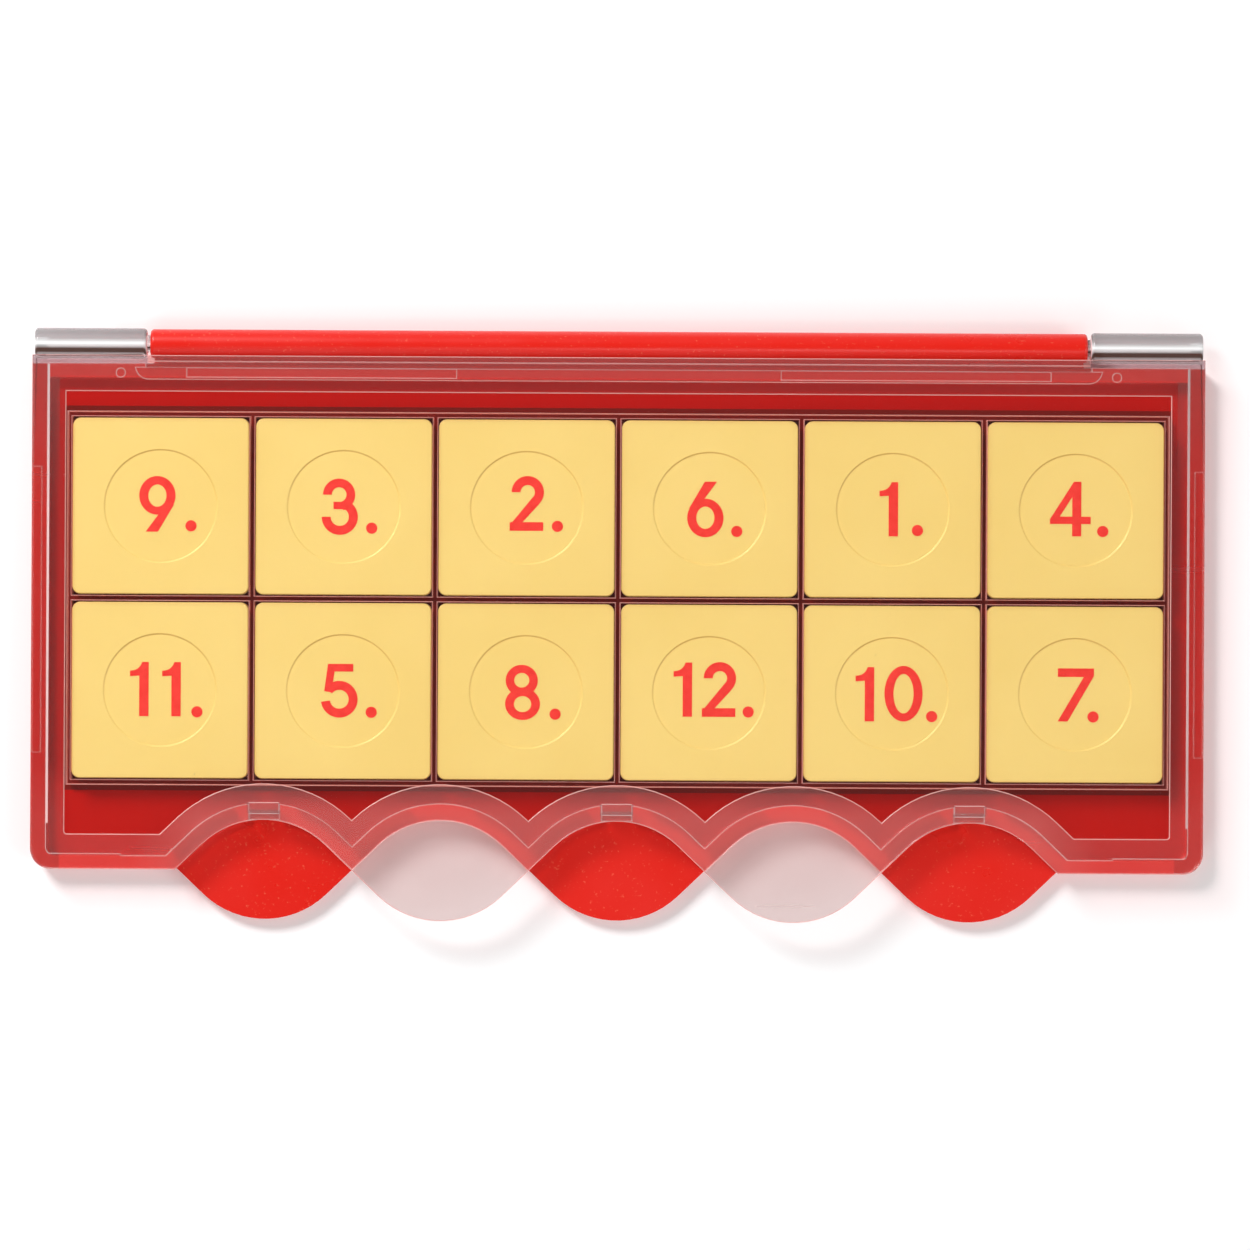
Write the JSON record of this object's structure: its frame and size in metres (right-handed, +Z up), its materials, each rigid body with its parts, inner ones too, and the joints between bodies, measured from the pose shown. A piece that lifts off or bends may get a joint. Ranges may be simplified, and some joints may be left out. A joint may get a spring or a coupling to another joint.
{
  "type": "numbered tile learning case",
  "caption": "Flat hinged case with a red tray and a clear cover over loose square numbered tiles in a grid, with lens-shaped finger tabs along its front edge.",
  "frame": {"origin": "centre of the closed case's bounding box, on the underside of the red tray", "axes": "+X along the hinge, to the right when the numerals read upright; +Y towards the hinge; +Z up through the clear cover. Stored closed."},
  "size_m": [0.255, 0.1288, 0.0096],
  "materials": {
    "red_shell": "opaque red moulded plastic, softly glossy",
    "clear_cover": "clear moulded plastic, polished in the window and fine-frosted on the border",
    "tile_body": "cream-yellow moulded plastic, satin",
    "numeral_ink": "red printed ink"
  },
  "bodies": {
    "tray": {"base_shell": "red_shell"},
    "cover": {"cover_shell": "clear_cover"},
    "tile_01": {"tile_01": "tile_body", "numeral_01": "numeral_ink"},
    "tile_02": {"tile_02": "tile_body", "numeral_02": "numeral_ink"},
    "tile_03": {"tile_03": "tile_body", "numeral_03": "numeral_ink"},
    "tile_04": {"tile_04": "tile_body", "numeral_04": "numeral_ink"},
    "tile_05": {"tile_05": "tile_body", "numeral_05": "numeral_ink"},
    "tile_06": {"tile_06": "tile_body", "numeral_06": "numeral_ink"},
    "tile_07": {"tile_07": "tile_body", "numeral_07": "numeral_ink"},
    "tile_08": {"tile_08": "tile_body", "numeral_08": "numeral_ink"},
    "tile_09": {"tile_09": "tile_body", "numeral_09": "numeral_ink"},
    "tile_10": {"tile_10": "tile_body", "numeral_10": "numeral_ink"},
    "tile_11": {"tile_11": "tile_body", "numeral_11": "numeral_ink"},
    "tile_12": {"tile_12": "tile_body", "numeral_12": "numeral_ink"}
  },
  "joints": [
    {"name": "cover_hinge", "type": "hinge", "parent": "tray", "child": "cover", "pos_m": [0, 0.061, 0.0048], "axis": [-1, 0, 0], "range_deg": [0, 180]},
    {"name": "tile_01_lift", "type": "slide", "parent": "tray", "child": "tile_01", "axis": [0, 0, 1], "range_m": [0, 0.0009]},
    {"name": "tile_02_lift", "type": "slide", "parent": "tray", "child": "tile_02", "axis": [0, 0, 1], "range_m": [0, 0.0009]},
    {"name": "tile_03_lift", "type": "slide", "parent": "tray", "child": "tile_03", "axis": [0, 0, 1], "range_m": [0, 0.0009]},
    {"name": "tile_04_lift", "type": "slide", "parent": "tray", "child": "tile_04", "axis": [0, 0, 1], "range_m": [0, 0.0009]},
    {"name": "tile_05_lift", "type": "slide", "parent": "tray", "child": "tile_05", "axis": [0, 0, 1], "range_m": [0, 0.0009]},
    {"name": "tile_06_lift", "type": "slide", "parent": "tray", "child": "tile_06", "axis": [0, 0, 1], "range_m": [0, 0.0009]},
    {"name": "tile_07_lift", "type": "slide", "parent": "tray", "child": "tile_07", "axis": [0, 0, 1], "range_m": [0, 0.0009]},
    {"name": "tile_08_lift", "type": "slide", "parent": "tray", "child": "tile_08", "axis": [0, 0, 1], "range_m": [0, 0.0009]},
    {"name": "tile_09_lift", "type": "slide", "parent": "tray", "child": "tile_09", "axis": [0, 0, 1], "range_m": [0, 0.0009]},
    {"name": "tile_10_lift", "type": "slide", "parent": "tray", "child": "tile_10", "axis": [0, 0, 1], "range_m": [0, 0.0009]},
    {"name": "tile_11_lift", "type": "slide", "parent": "tray", "child": "tile_11", "axis": [0, 0, 1], "range_m": [0, 0.0009]},
    {"name": "tile_12_lift", "type": "slide", "parent": "tray", "child": "tile_12", "axis": [0, 0, 1], "range_m": [0, 0.0009]}
  ]
}
